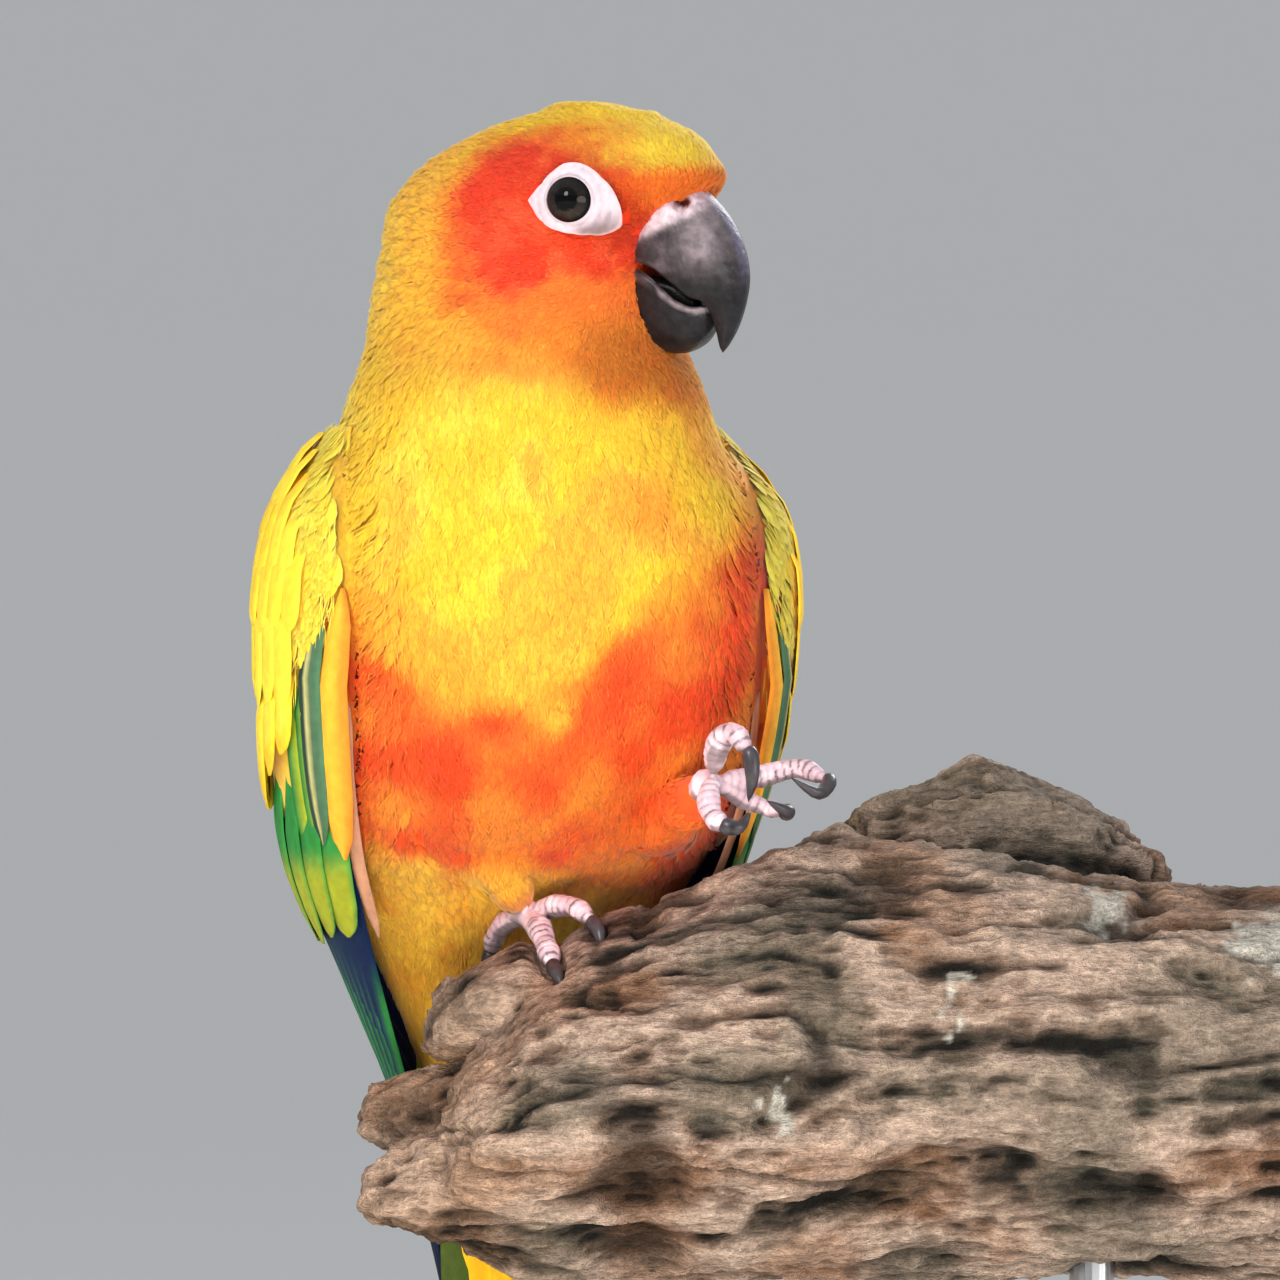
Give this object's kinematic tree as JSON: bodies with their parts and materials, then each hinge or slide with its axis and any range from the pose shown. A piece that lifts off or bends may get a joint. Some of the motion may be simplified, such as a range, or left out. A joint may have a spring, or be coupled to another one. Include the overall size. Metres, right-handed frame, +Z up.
{
  "type": "life-size sun conure model on a driftwood perch",
  "caption": "Still life-size sun conure with folded wings and a raised foot, on a cut length of driftwood held up by a plain rod stand.",
  "frame": {"origin": "centre of the stand base's underside", "axes": "+Z up; the front view looks along +Y, and the bird's body faces -Y turned 14 degrees to +X"},
  "size_m": [0.166, 0.0978, 0.2628],
  "materials": {
    "head_feathers": "soft feather, orange red face under a golden crown",
    "neck_feathers": "soft feather, yellow to orange",
    "torso_feathers": "soft feather, yellow breast to orange-red belly",
    "wing_feathers": "feather vanes, yellow coverts over green and dark blue flight feathers",
    "tail_feathers": "feather vanes, olive green to dark blue",
    "bill_horn": "satin black horn with a paler cere",
    "eye": "glossy dark brown",
    "bare_skin": "fine scaly pale pink skin",
    "claw_horn": "satin black horn",
    "driftwood": "weathered driftwood with long grain",
    "stand_base": "satin black paint",
    "stand_rod": "brushed"
  },
  "bodies": {
    "root": {"bill_lower": "bill_horn", "bill_upper": "bill_horn", "claw_left_1": "claw_horn", "claw_left_2": "claw_horn", "claw_left_3": "claw_horn", "claw_left_4": "claw_horn", "claw_right_1": "claw_horn", "claw_right_2": "claw_horn", "claw_right_3": "claw_horn", "claw_right_4": "claw_horn", "eye_left": "eye", "eye_right": "eye", "eye_ring_left": "bare_skin", "eye_ring_right": "bare_skin", "foot_left": "bare_skin", "foot_right": "bare_skin", "head": "head_feathers", "neck": "neck_feathers", "perch": "driftwood", "stand_base": "stand_base", "stand_rod_1": "stand_rod", "stand_rod_2": "stand_rod", "tail": "tail_feathers", "thigh_left": "torso_feathers", "thigh_right": "torso_feathers", "torso": "torso_feathers", "wing_left": "wing_feathers", "wing_right": "wing_feathers"}
  },
  "joints": []
}
